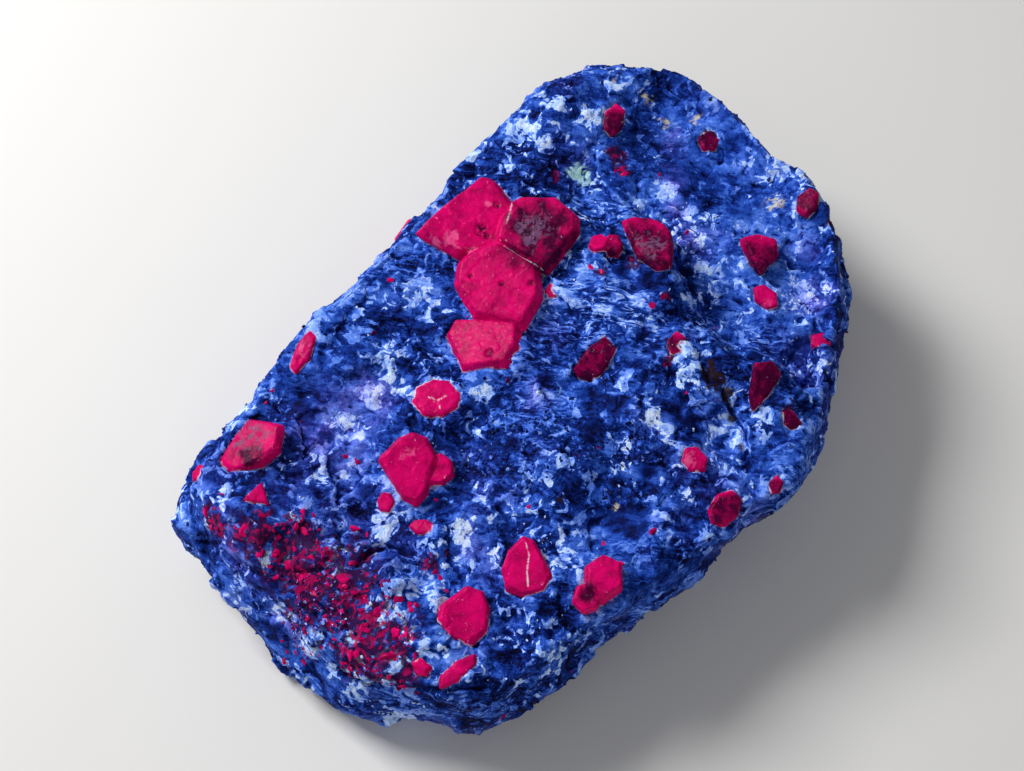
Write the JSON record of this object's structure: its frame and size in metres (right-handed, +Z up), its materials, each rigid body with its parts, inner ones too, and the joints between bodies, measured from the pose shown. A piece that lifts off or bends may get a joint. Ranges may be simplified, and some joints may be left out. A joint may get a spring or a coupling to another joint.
{
  "type": "ruby crystal specimen",
  "caption": "Broken chunk of blue matrix rock with red ruby crystals standing in its faces, a loose hand specimen that rests on its flat broken base.",
  "frame": {"origin": "under the middle of the whole specimen's box, on the surface that it rests on", "axes": "+X along the long side of the stone towards its high end, +Z up from the flat broken base"},
  "size_m": [0.0798, 0.054, 0.0218],
  "materials": {
    "matrix_rock": "rough broken rock, blue with pale grains",
    "ruby": "opaque red crystal with flat broken faces"
  },
  "bodies": {
    "root": {"matrix": "matrix_rock", "ruby_cluster": "ruby", "ruby_bud": "ruby", "ruby_oval": "ruby", "ruby_heart": "ruby", "ruby_bead": "ruby", "ruby_crescent": "ruby", "ruby_roof": "ruby", "ruby_west_chip": "ruby", "ruby_wedge": "ruby", "ruby_rim_sliver": "ruby", "ruby_veined": "ruby", "ruby_twin": "ruby", "ruby_front_block": "ruby", "ruby_front_blade": "ruby", "ruby_front_chip": "ruby", "ruby_middle": "ruby", "ruby_faded": "ruby", "ruby_ledge_block": "ruby", "ruby_ledge_chip": "ruby", "ruby_kite": "ruby", "ruby_shelf_chip": "ruby", "ruby_right_edge": "ruby", "ruby_blade": "ruby", "ruby_low_chip": "ruby", "ruby_striated": "ruby", "ruby_rim_pair": "ruby", "ruby_rim_chip": "ruby", "ruby_high": "ruby", "ruby_far": "ruby", "ruby_far_rim": "ruby", "ruby_back_plate": "ruby", "ruby_back_chip": "ruby", "ruby_end_plate": "ruby", "ruby_side_chip": "ruby"}
  },
  "joints": []
}
